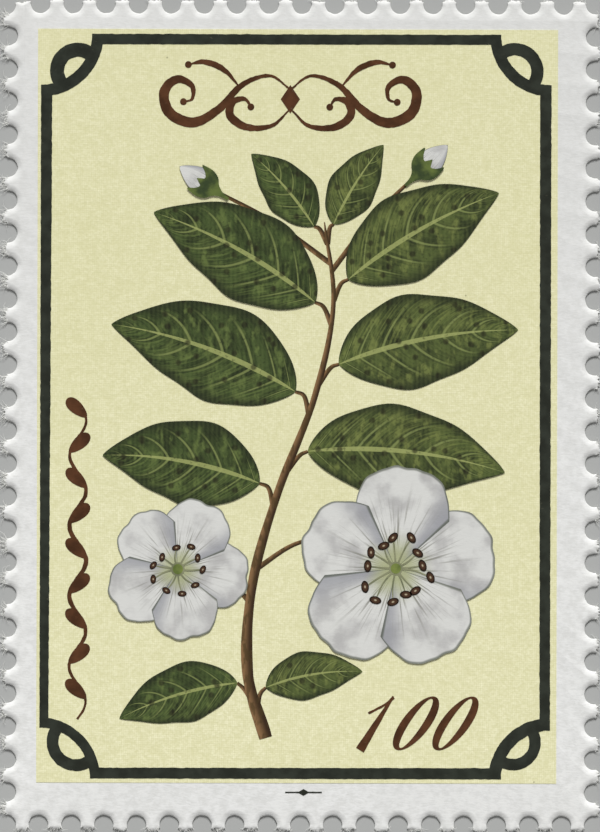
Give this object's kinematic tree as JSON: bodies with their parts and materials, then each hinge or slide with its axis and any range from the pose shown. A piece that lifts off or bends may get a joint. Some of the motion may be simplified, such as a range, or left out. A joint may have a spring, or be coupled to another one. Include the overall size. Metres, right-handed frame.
{
  "type": "postage stamp",
  "caption": "Perforated paper postage stamp with gummed back, tint panel, looped-corner frame line and a printed flowering branch.",
  "frame": {"origin": "centre of the stamp's outline, on the underside of the gum coat that it lies on", "axes": "+Z out of the printed face, +Y towards the top of the print, +X to the right of the print"},
  "size_m": [0.0261, 0.0364, 0.0002],
  "materials": {
    "gum": "dry gum, satin",
    "paper": "uncoated white, matte",
    "tint_ink": "pale yellow ink on paper, matte",
    "frame_ink": "greenish black ink on paper, matte",
    "twig_ink": "brown ink on paper, matte",
    "leaf_ink": "mottled green ink on paper, matte",
    "petal_ink": "white and grey ink on paper, matte",
    "stamen_ink": "dark brown ink on paper, matte",
    "script_ink": "brown ink on paper, matte"
  },
  "bodies": {
    "root": {"blossom_large_petals": "petal_ink", "blossom_large_stamens": "stamen_ink", "blossom_small_petals": "petal_ink", "blossom_small_stamens": "stamen_ink", "bud_left": "petal_ink", "bud_left_calyx": "leaf_ink", "bud_right": "petal_ink", "bud_right_calyx": "leaf_ink", "figure_1": "script_ink", "figure_2": "script_ink", "figure_3": "script_ink", "flourish": "script_ink", "frame_line": "frame_ink", "gum_coat": "gum", "leaf_foot_left": "leaf_ink", "leaf_foot_right": "leaf_ink", "leaf_high_left": "leaf_ink", "leaf_high_right": "leaf_ink", "leaf_low_left": "leaf_ink", "leaf_low_right": "leaf_ink", "leaf_mid_left": "leaf_ink", "leaf_mid_right": "leaf_ink", "leaf_tip_left": "leaf_ink", "leaf_tip_right": "leaf_ink", "margin_rule": "frame_ink", "paper_sheet": "paper", "side_vine": "script_ink", "tint_panel": "tint_ink", "twig": "twig_ink"}
  },
  "joints": []
}
